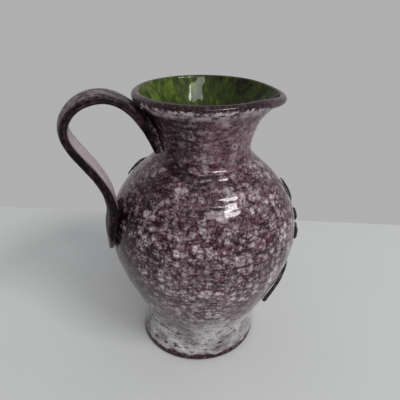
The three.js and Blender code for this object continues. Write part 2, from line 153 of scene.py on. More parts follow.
def inset(outline: Outline, wall: float) -> Outline:
    """Moves an upward outline square to itself towards the axis.

    Args:
        outline: Outside of a wall.
        wall: Thickness of the wall.

    Returns:
        The inside of the wall, from the bottom up.
    """
    points = np.array(outline)
    along = np.gradient(points, axis=0)
    along /= np.linalg.norm(along, axis=1)[:, None]
    return [tuple(p) for p in points + wall * np.stack([-along[:, 1], along[:, 0]], axis=1)]


def write_share(mesh: bpy.types.Mesh, name: str, values: Iterable[float]) -> None:
    """Writes one number for each point of a mesh, for its glaze to read."""
    attribute = mesh.attributes.new(name, "FLOAT", "POINT")
    attribute.data.foreach_set("value", np.ravel(values).astype(np.float32))


def show(obj: bpy.types.Object, node: str) -> bpy.types.Object:
    """Puts a piece in the scene as the dressed form of its node.

    Args:
        obj: The piece.
        node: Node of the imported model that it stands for.

    Returns:
        The same piece.
    """
    bpy.context.scene.collection.objects.link(obj)
    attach(obj, BODY)
    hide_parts(node)
    return obj


def add(tree: bpy.types.NodeTree, kind: str, inputs: Iterable[Value] | dict[str | int, Value] = (),
        **settings: str) -> bpy.types.Node:
    """Adds one shader node with its settings, constants and links.

    Args:
        tree: Node tree that takes the node.
        kind: Blender's node type, without the word that all shader nodes start with.
        inputs: Constants, sockets or nodes for the inputs, in order or by name or number. A node gives
            its first output that is in use.
        **settings: Attributes of the node itself.

    Returns:
        The new node.
    """
    node = tree.nodes.new(f"ShaderNode{kind}")
    for name, setting in settings.items():
        setattr(node, name, setting)
    named = inputs if isinstance(inputs, dict) else dict(enumerate(inputs))
    for key, value in named.items():
        if isinstance(value, bpy.types.Node):
            value = next(output for output in value.outputs if output.enabled)
        if isinstance(value, bpy.types.NodeSocket):
            tree.links.new(value, node.inputs[key])
        else:
            node.inputs[key].default_value = value
    return node


class Shader:
    """One material in the making, with what the glazes share."""

    def __init__(self, name: str) -> None:
        """Starts an empty material.

        Args:
            name: Name of the finish.
        """
        self.material = bpy.data.materials.new(name)
        self.material.use_nodes = True
        tree = self.material.node_tree
        tree.nodes.clear()
        self.node = partial(add, tree)
        self.place = self.node("TexCoord").outputs["Object"]
        self.x, self.y, self.z = self.node("SeparateXYZ", (self.place,)).outputs

    def lay(self, under: Hue, over: Hue, value: Value, low: float, high: float,
            most: float = 1.0) -> bpy.types.Node:
        """Lays one colour over another as a value goes from low to high.

        Args:
            under: Lower colour, as a hex value or a node.
            over: Upper colour.
            value: What tells where, such as a pattern or a height.
            low: Level where the upper colour starts to show.
            high: Level where it has its full share, above or below low.
            most: That full share.

        Returns:
            The colour of both.
        """
        first, second = (linear(hue) if isinstance(hue, str) else hue for hue in (under, over))
        share = self.node("MapRange", (value, low, high, 0.0, most), **SMOOTH)
        return self.node("Mix", {0: share, 6: first, 7: second}, **COLOURS)

    def uneven_height(self, noise: bpy.types.Node, depth_mm: float) -> bpy.types.Node:
        """Height over the table, moved by noise by about half a depth either way, for a ragged edge."""
        middle = self.node("Math", (self.z, depth_mm / 2 * MM))
        return self.node("Math", (noise, -depth_mm * MM, middle), **TIMES_PLUS)

    def finish(self, colour: bpy.types.Node, rough: float, coat: float, relief: Layers,
               glass_relief: Layers = ()) -> bpy.types.Material:
        """Joins colour, relief and glass in one surface.

        Args:
            colour: Colour of the body under the glass.
            rough: Roughness of that body.
            coat: Weight of the clear glass on top.
            relief: Patterns that shape the body, each with its depth in millimetres, the lowest first.
            glass_relief: The same for the glass.

        Returns:
            The finished material.
        """
        inputs = {"Base Color": colour, "Roughness": rough, "IOR": GLASS_IOR,
                  "Specular IOR Level": BODY_GLOSS, "Coat Weight": coat, "Coat Roughness": GLASS_ROUGH,
                  "Coat IOR": GLASS_IOR}
        for socket, layers in (("Normal", relief), ("Coat Normal", glass_relief)):
            for height, depth_mm in layers:
                bump = {"Height": height, "Distance": depth_mm * MM, "Strength": 1.0}
                if socket in inputs:
                    bump["Normal"] = inputs[socket]
                inputs[socket] = self.node("Bump", bump)
        surface = self.node("BsdfPrincipled", inputs)
        self.node("OutputMaterial", (surface,))
        return self.material


@dataclass(frozen=True)
class Patches:
    """Soft patches of a real size in a glaze, which the wheel or a run of glaze can draw out."""

    size_mm: float
    # Place in the noise, so that the patterns of one finish differ
    seed: int
    detail: float = 2.0
    rough: float = 0.6
    # Scale along each axis, smaller where the patches are longer, after a turn about Z in degrees
    drawn: tuple[float, float, float] = (1.0, 1.0, 1.0)
    turn: float = 0.0

    def draw(self, s: Shader) -> bpy.types.Node:
        """Adds the pattern to a material.

        Args:
            s: Material that takes it.

        Returns:
            Noise that lies about one half.
        """
        turn = (0.0, 0.0, math.radians(self.turn))
        way = s.node("Mapping", {"Vector": s.place, "Rotation": turn, "Scale": self.drawn})
        inputs = {"Vector": way, "W": self.seed, "Scale": 1 / (self.size_mm * MM), "Detail": self.detail,
                  "Roughness": self.rough}
        return s.node("TexNoise", inputs, noise_dimensions="4D")


@dataclass(frozen=True)
class Spots:
    """Soft round spots where a glaze broke open, each of its own strength, some with a dark dot inside."""

    spacing_mm: float
    # Shares of the spacing where a spot or dot has faded out, and where it is full
    wide: float
    narrow: float = 0.08
    dot_wide: float = 0.20
    dot_narrow: float = 0.09

    def draw(self, s: Shader, place: bpy.types.Node) -> tuple[bpy.types.Node, bpy.types.Node]:
        """Adds the pattern to a material.

        Args:
            s: Material that takes it.
            place: Coordinates to scatter the spots on.

        Returns:
            Strength of the spots and of the dots, each from 0 to 1.
        """
        inputs = {"Vector": place, "Scale": 1 / (self.spacing_mm * MM), "Randomness": 0.9}
        cells = s.node("TexVoronoi", inputs)
        chance = s.node("SeparateColor", (cells.outputs["Color"],)).outputs
        spot = s.node("MapRange", (cells, self.wide, self.narrow), **SMOOTH)
        strength = s.node("MapRange", (chance[0], -0.2, 0.9), **SMOOTH)
        dot = s.node("MapRange", (cells, self.dot_wide, self.dot_narrow), **SMOOTH)
        some = s.node("MapRange", (chance[1], 0.5, 0.6), **SMOOTH)
        return s.node("Math", (spot, strength), **TIMES), s.node("Math", (dot, some), **TIMES)


@dataclass(frozen=True)
class Band:
    """A level stretch of a glaze that differs from the rest, such as pooled glaze with painted shade in a
    crease.
    """

    height_mm: float
    half_mm: float
    colour: str
    strength: float
    patch_mm: float
    # Ends along X, and the length over which the band fades in from each
    left_mm: float = -200.0
    right_mm: float = 200.0
    fade_mm: float = 14.0

    def lay(self, s: Shader, colour: bpy.types.Node, seed: int) -> bpy.types.Node:
        """Lays the band over a glaze.

        Args:
            s: Material that takes it.
            colour: Colour of the glaze.
            seed: Seed of the patches that the band breaks into.

        Returns:
            The colour of both.
        """
        above = s.node("Math", (s.z, self.height_mm * MM), operation="SUBTRACT")
        away = s.node("Math", (above,), operation="ABSOLUTE")
        share = s.node("MapRange", (away, self.half_mm * MM, 0.0, 0.0, self.strength), **SMOOTH)
        left = metres((self.left_mm, self.left_mm + self.fade_mm))
        right = metres((self.right_mm, self.right_mm - self.fade_mm))
        patch = Patches(self.patch_mm, seed).draw(s)
        for limit in ((patch, 0.30, 0.62), (s.x, *left), (s.x, *right)):
            within = s.node("MapRange", limit, **SMOOTH)
            share = s.node("Math", (share, within), **TIMES)
        return s.node("Mix", {0: share, 6: colour, 7: linear(self.colour)}, **COLOURS)


@dataclass(frozen=True)
class TinWhite:
    """White tin glaze, poured on the lower body and wiped round on the wheel."""

    # To the eye: a clouded grey-white with dark flecks that the wheel drew out level
    shadow: str = "#9b9495"
    light: str = "#f0eeec"
    fleck: str = "#3a2931"
    clouds: Patches = Patches(16, seed=7)
    scratches: Patches = Patches(1.1, seed=21, drawn=(0.12, 0.12, 1.0))
    # Real specks are finer, and are drawn at 1 mm so that they show
    specks: Patches = Patches(1.0, seed=23, detail=1.0)
    flecks: Patches = Patches(2.4, seed=5, detail=3.0, rough=0.7, drawn=(0.35, 0.35, 1.0))

    def colour(self, s: Shader) -> bpy.types.Node:
        """Adds the colour of the wiped glaze, the same on each piece that it runs over.

        Args:
            s: Material that takes it.

        Returns:
            The colour.
        """
        body = s.lay(self.shadow, self.light, self.clouds.draw(s), 0.32, 0.68)
        body = s.lay(body, self.fleck, self.scratches.draw(s), 0.50, 0.72, 0.5)
        body = s.lay(body, self.fleck, self.specks.draw(s), 0.50, 0.66, 0.45)
        return s.lay(body, self.fleck, self.flecks.draw(s), 0.54, 0.63, 0.9)


@dataclass(frozen=True)
class MottledGlaze:
    """Manganese glaze, dabbed on over white tin glaze and fired until it broke open."""

    # To the eye: glossy dark aubergine that breaks into soft pale spots and level dashes
    name: str
    dark: str = "#2b020d"
    middle: str = "#7a5460"
    pale: str = "#f4e5ea"
    # Dark glaze pooled in the groove under the ledge, deepened with painted shade
    pooled: str = "#21050b"
    rough: float = 0.45
    coat: float = 0.85
    spot_mm: float = 5.2
    spot_share: float = 1.0
    small_share: float = 0.62
    dash_share: float = 0.4
    dot_share: float = 0.85
    # Share of that pooled glaze and painted shade
    pool_and_shade_share: float = 0.85
    clouds: Patches = Patches(24, seed=1)
    blotches: Patches = Patches(3.0, seed=2)
    # The real grain is finer, and is drawn at about 1 mm so that it shows
    specks: Patches = Patches(1.15, seed=3, detail=1.0)
    streaks: Patches = Patches(1.5, seed=4, drawn=(0.16, 0.16, 1.0))
    dashes: Patches = Patches(1.5, seed=22, detail=1.0, rough=0.5, drawn=(0.12, 0.12, 1.0))
    swells: Patches = Patches(15, seed=14, detail=1.0, rough=0.5)
    ripples: Patches = Patches(5.0, seed=17, detail=1.0, rough=0.5, drawn=(0.5, 0.5, 1.0))
    # Noise that pushes the spots about, so that they lose their even look
    loosening: Patches = Patches(2.6, seed=20, detail=1.0, rough=0.5)
    loose_mm: float = 2.2
    # Places between which the glaze is painted darker as shade, on the side towards the handle and the
    # viewer
    painted_shade_x_mm: Pair = (-12.0, -60.0)
    painted_shade_y_mm: Pair = (-10.0, -38.0)
    painted_shade_share: float = 0.12
    lightness: float = 0.0
    # Heights between which the spots grow fewer
    fewer_mm: Pair = (116.0, 140.0)
    fewer_share: float = 0.4
    # Heights between which white glaze takes over, by default below the piece, and how ragged its edge is
    white_mm: Pair = (-10.0, -20.0)
    ragged_mm: float = 50.0
    bands: tuple[Band, ...] = ()
    band_seed: int = 30

    def tone(self, s: Shader, layers: Layers) -> bpy.types.Node:
        """Adds how pale the glaze is before its spots, with painted shade darkening the side towards the
        handle.

        Args:
            s: Material that takes it.
            layers: Patterns and their shares.

        Returns:
            The tone, which lies about one half.
        """
        # Painted shade: darker glaze towards the handle and the viewer
        left = s.node("MapRange", (s.x, *metres(self.painted_shade_x_mm)), **SMOOTH)
        near = s.node("MapRange", (s.y, *metres(self.painted_shade_y_mm)), **SMOOTH)
        painted_shade = s.node("Math", (left, near), **TIMES)
        tone = s.node("Math", (painted_shade, -self.painted_shade_share, self.lightness), **TIMES_PLUS)
        for layer, share in layers:
            tone = s.node("Math", (layer, share, tone), **TIMES_PLUS)
        return tone

    def spotted(self, s: Shader, colour: bpy.types.Node, tone: bpy.types.Node,
                cloud: bpy.types.Node) -> bpy.types.Node:
        """Lays the pale dashes and spots over the glaze, and the dark dots over the spots.

        Args:
            s: Material that takes them.
            colour: Colour of the glaze.
            tone: How pale that is, since pale glaze has more spots.
            cloud: Pattern of places where they crowd.

        Returns:
            The colour of all.
        """
        shift = self.loosening.draw(s).outputs["Color"]
        loose = s.node("VectorMath", (shift, (self.loose_mm * MM,) * 3, s.place), **TIMES_PLUS)
        spot, dot = Spots(self.spot_mm, wide=0.68).draw(s, loose)
        small, _ = Spots(self.spot_mm / 2, wide=0.66).draw(s, loose)
        dash = s.node("MapRange", (self.dashes.draw(s), 0.60, 0.76), **SMOOTH)
        crowd = s.node("MapRange", (cloud, 0.38, 0.60, 0.66, 1.16), **SMOOTH)
        fewer = s.node("MapRange", (s.z, *metres(self.fewer_mm), 0.0, -self.fewer_share), **SMOOTH)
        crowd = s.node("Math", (crowd, fewer))
        broken = s.node("MapRange", (tone, 0.34, 0.58), **SMOOTH)
        grain = s.node("Math", (broken, crowd), **TIMES)
        for mark, most in ((dash, self.dash_share), (small, self.small_share), (spot, self.spot_share)):
            share = s.node("Math", (grain, most), **TIMES)
            share = s.node("Math", (mark, share), **TIMES)
            colour = s.node("Mix", {0: share, 6: colour, 7: linear(self.pale)}, **COLOURS)
        share = s.node("Math", (dot, self.dot_share), **TIMES)
        return s.node("Mix", {0: share, 6: colour, 7: linear(self.dark)}, **COLOURS)

    def build(self) -> bpy.types.Material:
        """Makes the material.

        Returns:
            The finished material.
        """
        s = Shader(self.name)
        patterns = (self.clouds, self.blotches, self.specks, self.streaks, self.swells, self.ripples)
        cloud, blotch, speck, streak, swell, ripple = (pattern.draw(s) for pattern in patterns)
        tone = self.tone(s, ((speck, 0.38), (blotch, 0.22), (streak, 0.28), (cloud, 0.12)))
        colour = s.lay(self.dark, self.middle, tone, 0.46, 0.57)
        colour = self.spotted(s, colour, tone, cloud)
        for number, band in enumerate(self.bands):
            colour = band.lay(s, colour, self.band_seed + number)
        # Pooled glaze and painted shade in the groove under the ledge
        pool = s.node("Attribute", attribute_name="pool").outputs["Fac"]
        ragged = s.node("MapRange", (blotch, 0.30, 0.52, 0.0, self.pool_and_shade_share), **SMOOTH)
        share = s.node("Math", (pool, ragged), **TIMES)
        colour = s.node("Mix", {0: share, 6: colour, 7: linear(self.pooled)}, **COLOURS)
        level = s.uneven_height(tone, self.ragged_mm)
        colour = s.lay(colour, TinWhite().colour(s), level, *metres(self.white_mm))
        glass = ((swell, 1.4), (ripple, 0.14), (streak, 0.05))
        return s.finish(colour, self.rough, self.coat, (*glass, (speck, 0.10)), glass)


@dataclass(frozen=True)
class FootGlaze:
    """White tin glaze on the turned foot, wiped off the edge that stands in the kiln."""

    # To the eye: glossy grey-white with brown-purple splashes, over a dark bare edge at the base
    name: str
    bare: str = "#2a1618"
    stain: str = "#7d5c64"
    rough: float = 0.4
    coat: float = 0.8
    edge_mm: float = 5.0
    edge_blend_mm: float = 0.7
    ragged_mm: float = 8.0
    splash_mm: float = 15.0
    splash_share: float = 0.85
    specks: Patches = Patches(2.2, seed=6)
    splashes: Patches = Patches(8.0, seed=24, detail=3.0, rough=0.65)
    swells: Patches = Patches(9, seed=15, detail=1.0, rough=0.5)

    def build(self) -> bpy.types.Material:
        """Makes the material.

        Returns:
            The finished material.
        """
        s = Shader(self.name)
        speck, splash, swell = (pattern.draw(s) for pattern in (self.specks, self.splashes, self.swells))
        low = s.node("MapRange", (s.z, *metres((self.splash_mm, self.edge_mm))), **SMOOTH)
        share = s.node("MapRange", (splash, 0.50, 0.66, 0.0, self.splash_share), **SMOOTH)
        share = s.node("Math", (low, share), **TIMES)
        colour = s.node("Mix", {0: share, 6: TinWhite().colour(s), 7: linear(self.stain)}, **COLOURS)
        edge = s.lay(self.bare, self.stain, speck, 0.46, 0.66)
        level = s.uneven_height(splash, self.ragged_mm)
        ends = metres((self.edge_mm + self.edge_blend_mm, self.edge_mm - self.edge_blend_mm))
        colour = s.lay(colour, edge, level, *ends)
        return s.finish(colour, self.rough, self.coat, ((speck, 0.15),), ((swell, 0.6),))


@dataclass(frozen=True)
class DarkGlaze:
    """Thick manganese glaze, brushed on pressed clay."""

    # To the eye: wet, nearly black, with a brown-purple break on high places
    name: str
    deep: str = "#150b0c"
    thin: str = "#5c4a4e"
    rough: float = 0.4
    coat: float = 1.0
    patches: Patches = Patches(2.6, seed=8, detail=3.0)
    relief_mm: float = 0.7

    def build(self) -> bpy.types.Material:
        """Makes the material.

        Returns:
            The finished material.
        """
        s = Shader(self.name)
        patch = self.patches.draw(s)
        colour = s.lay(self.deep, self.thin, patch, 0.42, 0.72)
        relief = ((patch, self.relief_mm),)
        return s.finish(colour, self.rough, self.coat, relief, relief)


@dataclass(frozen=True)
class LipGlaze:
    """Dark manganese glaze that pooled on the rolled lip, rubbed at the spout and at the handle."""

    # To the eye: satin black-brown, paler where it is rubbed, with a ragged lower edge over pale glaze
    name: str
    # Height of the dark glaze's lower edge, and how far that goes down at the spout
    edge_mm: float
    dip_mm: float
    edge_blend_mm: float = 0.6
    # Below zero, so that the edge is low where the noise is high
    ragged_mm: float = -6.0
    deep: str = "#1c0c0f"
    thin: str = "#5d4448"
    worn: str = "#86747a"
    dull: str = "#5d474f"
    pale: str = "#cbbfc3"
    rough: float = 0.4
    coat: float = 0.55
    worn_share: float = 0.65
    worn_handle_mm: Pair = (-16.0, -44.0)
    worn_spout_mm: Pair = (36.0, 54.0)
    spout_mm: Pair = (34.0, 52.0)
    pools: Patches = Patches(1.3, seed=8, detail=3.0)
    edges: Patches = Patches(5.0, seed=40)
    mottles: Patches = Patches(2.4, seed=41)

    def build(self) -> bpy.types.Material:
        """Makes the material.

        Returns:
            The finished material.
        """
        s = Shader(self.name)
        pool, ragged, mottle = (pattern.draw(s) for pattern in (self.pools, self.edges, self.mottles))
        pooled = s.lay(self.deep, self.thin, pool, 0.44, 0.64)
        handle = s.node("MapRange", (s.x, *metres(self.worn_handle_mm)), **SMOOTH)
        spout = s.node("MapRange", (s.x, *metres(self.worn_spout_mm)), **SMOOTH)
        ends = s.node("Math", (handle, spout), operation="MAXIMUM")
        share = s.node("MapRange", (mottle, 0.30, 0.62, 0.0, self.worn_share), **SMOOTH)
        share = s.node("Math", (ends, share), **TIMES)
        pooled = s.node("Mix", {0: share, 6: pooled, 7: linear(self.worn)}, **COLOURS)
        below = s.lay(self.dull, self.pale, mottle, 0.40, 0.62)
        # The glaze's edge goes down with the lip at the spout
        dip = s.node("MapRange", (s.x, *metres((*self.spout_mm, 0.0, self.dip_mm))), **SMOOTH)
        level = s.node("Math", (dip, s.uneven_height(ragged, self.ragged_mm)))
        limits = metres((self.edge_mm + self.edge_blend_mm, self.edge_mm - self.edge_blend_mm))
        colour = s.lay(pooled, below, level, *limits)
        return s.finish(colour, self.rough, self.coat, ((pool, 0.2),), ((ragged, 0.25),))


@dataclass(frozen=True)
class GreenGlaze:
    """Copper glaze that was swilled round the inside and ran down."""

    # To the eye: bright yellow-green runs over deep olive, darker towards the spout
    name: str
    deep: str = "#120f03"
    middle: str = "#39450a"
    bright: str = "#647d20"
    rough: float = 0.5
    coat: float = 0.75
    runs: Patches = Patches(12, seed=9, drawn=(1.0, 1.0, 0.3))
    streaks: Patches = Patches(3.0, seed=10, detail=3.0, rough=0.65, drawn=(1.0, 1.0, 0.3))
    swells: Patches = Patches(11, seed=16, detail=1.0, rough=0.5, drawn=(1.0, 1.0, 0.3))
    spout_mm: Pair = (-42.0, 40.0)

    def build(self) -> bpy.types.Material:
        """Makes the material.

        Returns:
            The finished material.
        """
        s = Shader(self.name)
        run, streak, swell = (pattern.draw(s) for pattern in (self.runs, self.streaks, self.swells))
        tone = s.node("MapRange", (s.x, *metres(self.spout_mm), 0.05, -0.07), **SMOOTH)
        for layer, share in ((run, 0.4), (streak, 0.6)):
            tone = s.node("Math", (layer, share, tone), **TIMES_PLUS)
        colour = s.lay(self.deep, self.middle, tone, 0.33, 0.48)
        colour = s.lay(colour, self.bright, tone, 0.48, 0.66)
        return s.finish(colour, self.rough, self.coat, ((streak, 0.15),), ((swell, 1.0),))


@dataclass(frozen=True)
class StrapGlaze:
    """Manganese glaze on the pulled strap, wiped along it with a wet hand."""

    # To the eye: dull aubergine, nearly black on the edges, streaked pale where it was wiped thin
    name: str
    azimuth: float
    outer_dark: str = "#4b3d40"
    outer_pale: str = "#958889"
    outer_patch: str = "#9c9190"
    pooled: str = "#170b0e"
    pooled_thin: str = "#4f3c42"
    inner_dark: str = "#b39da1"
    inner_pale: str = "#e6dadd"
    rim: str = "#070203"
    rim_thin: str = "#482830"
    run_dark: str = "#3a2830"
    run_pale: str = "#a8989e"
    rough: float = 0.5
    coat: float = 0.2
    # The outer face is paler at the top and at the foot, and darker between
    pale_top_mm: Pair = (172.0, 192.0)
    pale_foot_mm: Pair = (112.0, 98.0)
    patches: Patches = Patches(6.0, seed=12, rough=0.5)
    mottles: Patches = Patches(2.6, seed=19)
    runs: Patches = Patches(2.0, seed=18)
    streak_mm: float = 1.3
    streak_drawn: tuple[float, float, float] = (0.05, 1.0, 0.05)

    def build(self) -> bpy.types.Material:
        """Makes the material.

        Returns:
            The finished material.
        """
        s = Shader(self.name)
        streaks = Patches(self.streak_mm, seed=11, detail=3.0, drawn=self.streak_drawn, turn=-self.azimuth)
        patterns = (streaks, self.patches, self.mottles, self.runs)
        streak, patch, mottle, run = (pattern.draw(s) for pattern in patterns)
        inner, edge, joint = (s.node("Attribute", attribute_name=name).outputs["Fac"]
                              for name in ("inner", "edge", "joint"))
        brushed = s.node("Math", (mottle, 0.6), **TIMES)
        brushed = s.node("Math", (streak, 0.4, brushed), **TIMES_PLUS)
        thin = s.lay(self.outer_dark, self.outer_pale, brushed, 0.40, 0.62)
        thin = s.lay(thin, self.outer_patch, patch, 0.60, 0.80)
        top = s.node("MapRange", (s.z, *metres(self.pale_top_mm)), **SMOOTH)
        foot = s.node("MapRange", (s.z, *metres(self.pale_foot_mm)), **SMOOTH)
        paler_ends = s.node("Math", (top, foot), operation="MAXIMUM")
        inner_face = s.lay(self.inner_dark, self.inner_pale, streak, 0.35, 0.70)
        rim = s.lay(self.rim, self.rim_thin, brushed, 0.46, 0.66)
        glaze_run = s.lay(self.run_dark, self.run_pale, run, 0.40, 0.62)
        colour = s.lay(self.pooled, self.pooled_thin, brushed, 0.42, 0.66)
        for share, over in ((paler_ends, thin), (inner, inner_face), (edge, rim), (joint, glaze_run)):
            colour = s.node("Mix", {0: share, 6: colour, 7: over}, **COLOURS)
        relief = ((streak, 0.25),)
        return s.finish(colour, self.rough, self.coat, relief, relief)


@dataclass(frozen=True)
class TablePaint:
    """Flat paint, rolled on a table."""

    # To the eye: dull and pale, with a cloud so faint that it only breaks the evenness
    name: str
    colour: str = "#e0e1df"
    rough: float = 0.7
    clouds: Patches = Patches(90, seed=13, detail=1.0, rough=0.5)
    dimmed: float = 0.96

    def build(self) -> bpy.types.Material:
        """Makes the material.

        Returns:
            The finished material.
        """
        s = Shader(self.name)
        cloud = self.clouds.draw(s)
        light = linear(self.colour)
        dim = (*(self.dimmed * channel for channel in light[:3]), 1.0)
        colour = s.node("Mix", {0: cloud, 6: dim, 7: light}, **COLOURS)
        return s.finish(colour, self.rough, 0.0, ((cloud, 0.05),))


@dataclass(frozen=True)
class Wave:
    """An unevenness of the hand that runs round a piece, and slants as it climbs."""

    strength: float
    # Whole waves in one turn, then the angles in radians that it gains with each millimetre and starts at
    turns: int
    climb: float = 0.0
    start: float = 0.0

    def at(self, azimuth: np.ndarray, height: np.ndarray) -> np.ndarray:
        """Its strength at each place."""
        return self.strength * np.sin(self.turns * azimuth + self.climb * height + self.start)


@dataclass(frozen=True)
class Bell:
    """A soft rise about one place."""

    strength: float
    centre: float
    spread: float

    def at(self, value: np.ndarray) -> np.ndarray:
        """Its strength at each place."""
        return self.strength * np.exp(-((value - self.centre) / self.spread) ** 2)


@dataclass(frozen=True)
class JugSizes:
    """Sizes in millimetres that the turned pieces share, as in the solids."""

    # Place of the belly's axis along X, the heights of the rim, the neck's seat and the foot, and two radii
    axis: float
    rim: float
    seat: float
    foot: float
    foot_radius: float
    belly_radius: float
    waist_radius: float = 44.5
    neck_base_radius: float = 32.5
    wall: float = 6.0
    floor_under: float = 12.3
    spigot_radius: float = 33.0
    # Slip that fills the seam at the waist, and that spreads from the neck on the shoulder
    seam_blend: float = 6.0
    seam_turn: float = 0.11
    slip_reach: float = 4.6
    slip_slope: float = 0.72
    ring_pitch: float = 2.9

    @classmethod
    def from_frame(cls) -> "JugSizes":
        """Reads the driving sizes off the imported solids.

        Returns:
            The sizes.
        """
        _, foot_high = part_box("thrown_foot")
        belly_low, belly_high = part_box("thrown_belly")
        _, neck_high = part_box("neck_collar")
        return cls(
            axis=(belly_low.x + belly_high.x) / 2 / MM,
            rim=neck_high.z / MM,
            seat=belly_high.z / MM,
            foot=foot_high.z / MM,
            foot_radius=foot_high.y / MM,
            belly_radius=belly_high.y / MM,
        )

    def seam(self, height: float) -> float:
        """How far slip fills the crease between foot and belly, so that both leave it in one line."""
        gap = (height - self.foot) / self.seam_blend
        return self.seam_turn * self.seam_blend * gap * (1 - abs(gap)) ** 2 if abs(gap) < 1 else 0.0

    def slip_root(self) -> Point:
        """Where the slip under the neck ends on the shoulder."""
        return (self.neck_base_radius + self.slip_reach, self.seat - self.slip_reach * self.slip_slope)


@dataclass(frozen=True)
class TurnedPiece(ABC):
    """A piece thrown on the wheel: an outline spun about its axis, with the marks that the hand leaves."""

    NODE: ClassVar[str]
    SLOT: ClassVar[Slot]
    # Whether the outline ends where it starts, and not on the axis
    CLOSED: ClassVar[bool] = False

    sizes: JugSizes
    round_steps: int = 300
    crease_angle: float = 50.0

    @abstractmethod
    def stretches(self) -> list[tuple[Zone, Outline]]:
        """Stretches of the outline in order, each with its zone."""

    @abstractmethod
    def finishes(self) -> list[bpy.types.Material]:
        """Finishes in the order of the zones."""

    def relief(self, azimuth: np.ndarray, height: np.ndarray) -> np.ndarray:
        """How far the marks of the hand stand out, which is nowhere on a piece that was wiped smooth."""
        return np.zeros_like(azimuth + height)

    def place(self, grid: np.ndarray) -> np.ndarray:
        """Moves the spun grid to the axis of belly and neck."""
        return grid + np.array([self.sizes.axis, 0, 0])

    def mark(self, mesh: bpy.types.Mesh, azimuth: np.ndarray, height: np.ndarray) -> None:
        """Writes what the glaze reads from the shape, which is nothing on a plain piece."""

    def spin(self, outline: np.ndarray, zones: list[Zone], azimuth: np.ndarray,
             height: np.ndarray) -> np.ndarray:
        """Spins the outline, with the marks of the hand on its outside.

        Args:
            outline: Points of the outline.
            zones: Zone of each point.
            azimuth: Grid of angles, one row for each point.
            height: Grid of heights.

        Returns:
            Grid of points in millimetres about the piece's own axis.
        """
        along = np.gradient(outline, axis=0)
        along /= np.linalg.norm(along, axis=1)[:, None]
        outside = np.array([zone is Zone.OUTSIDE for zone in zones])[:, None]
        push = self.relief(azimuth, height) * outside
        radius = outline[:, :1] + along[:, 1:] * push
        height = height - along[:, :1] * push
        return np.stack([radius * np.cos(azimuth), radius * np.sin(azimuth), height], axis=-1)

    def build(self) -> bpy.types.Object:
        """Makes the mesh and dresses each zone in its finish.

        Returns:
            The dressed piece.
        """
        stretches = self.stretches()
        outline = np.array([point for _, stretch in stretches for point in stretch])
        zones = [zone for zone, stretch in stretches for _ in stretch]
        round_angles = np.linspace(-math.pi, math.pi, self.round_steps, endpoint=False)
        azimuth, height = np.meshgrid(round_angles, outline[:, 1])
        grid = self.place(self.spin(outline, zones, azimuth, height))
        rows, columns = azimuth.shape
        strips = rows if self.CLOSED else rows - 1
        first = np.arange(strips)[:, None] * columns + np.arange(columns)
        step = np.arange(strips)[:, None] * columns + (np.arange(columns) + 1) % columns
        quads = np.stack([first, step, step + columns, first + columns], axis=-1) % (rows * columns)
        mesh = bpy.data.meshes.new(self.NODE)
        mesh.from_pydata((grid.reshape(-1, 3) * MM).tolist(), [], quads.reshape(-1, 4).tolist())
        self.mark(mesh, azimuth, height)
        for finish in self.finishes():
            mesh.materials.append(finish)
        indices = np.repeat([zone.value for zone in zones[:strips]], columns)
        mesh.polygons.foreach_set("material_index", indices.astype(np.int32))
        work = bmesh.new()
        work.from_mesh(mesh)
        bmesh.ops.remove_doubles(work, verts=work.verts, dist=WELD)
        bmesh.ops.recalc_face_normals(work, faces=work.faces)
        work.to_mesh(mesh)
        work.free()
        mesh.shade_smooth()
        mesh.set_sharp_from_angle(angle=math.radians(self.crease_angle))
        return show(bpy.data.objects.new(f"glazed_{self.NODE}", mesh), self.NODE)


@dataclass(frozen=True)
class Foot(TurnedPiece):
    """The foot, which leans over to meet the belly where that was set a little off its middle."""

    NODE = "thrown_foot"
    SLOT = Slot.FOOT

    edge: float = 1.6
    edge_arc: Pair = (-80.0, -10.0)
    edge_steps: int = 4
    side_steps: int = 40
    base_draw: float = 1.6
    base_draw_share: float = 0.35
    waist_draw: float = 0.8
    waist_draw_share: float = 0.66
    socket_clearance: float = 0.3

    def side(self) -> Outline:
        """Hollowed side from the base to the seam.

        Returns:
            Its points, about the foot's own axis.
        """
        z = self.sizes
        curve = bezier([
            (z.foot_radius, self.edge),
            (z.foot_radius - self.base_draw, z.foot * self.base_draw_share),
            (z.waist_radius - self.waist_draw, z.foot * self.waist_draw_share),
            (z.waist_radius, z.foot),
        ], self.side_steps)
        return [(radius + z.seam(height), height) for radius, height in curve]

    def stretches(self) -> list[tuple[Zone, Outline]]:
        """Flat underside, rounded edge, side, and the socket for the belly.

        Returns:
            The outline in one zone.
        """
        z = self.sizes
        corner = (z.foot_radius - self.edge, self.edge)
        base = [(0, 0), (corner[0], 0)] + arc(corner, self.edge, *self.edge_arc, self.edge_steps)
        socket = z.spigot_radius + z.axis + self.edge
        floor = z.floor_under - self.socket_clearance
        well = [(socket, z.foot), (socket, floor), (0, floor)]
        return [(Zone.OUTSIDE, base + self.side() + well)]

    def finishes(self) -> list[bpy.types.Material]:
        """White glaze all over."""
        return [FootGlaze("white_tin_glaze_on_turned_foot").build()]

    def place(self, grid: np.ndarray) -> np.ndarray:
        """Leans the spun grid over to the belly's axis."""
        lean = self.sizes.axis * smoothstep(self.edge, self.sizes.foot, grid[..., 2:])
        return grid + lean * np.array([1, 0, 0])


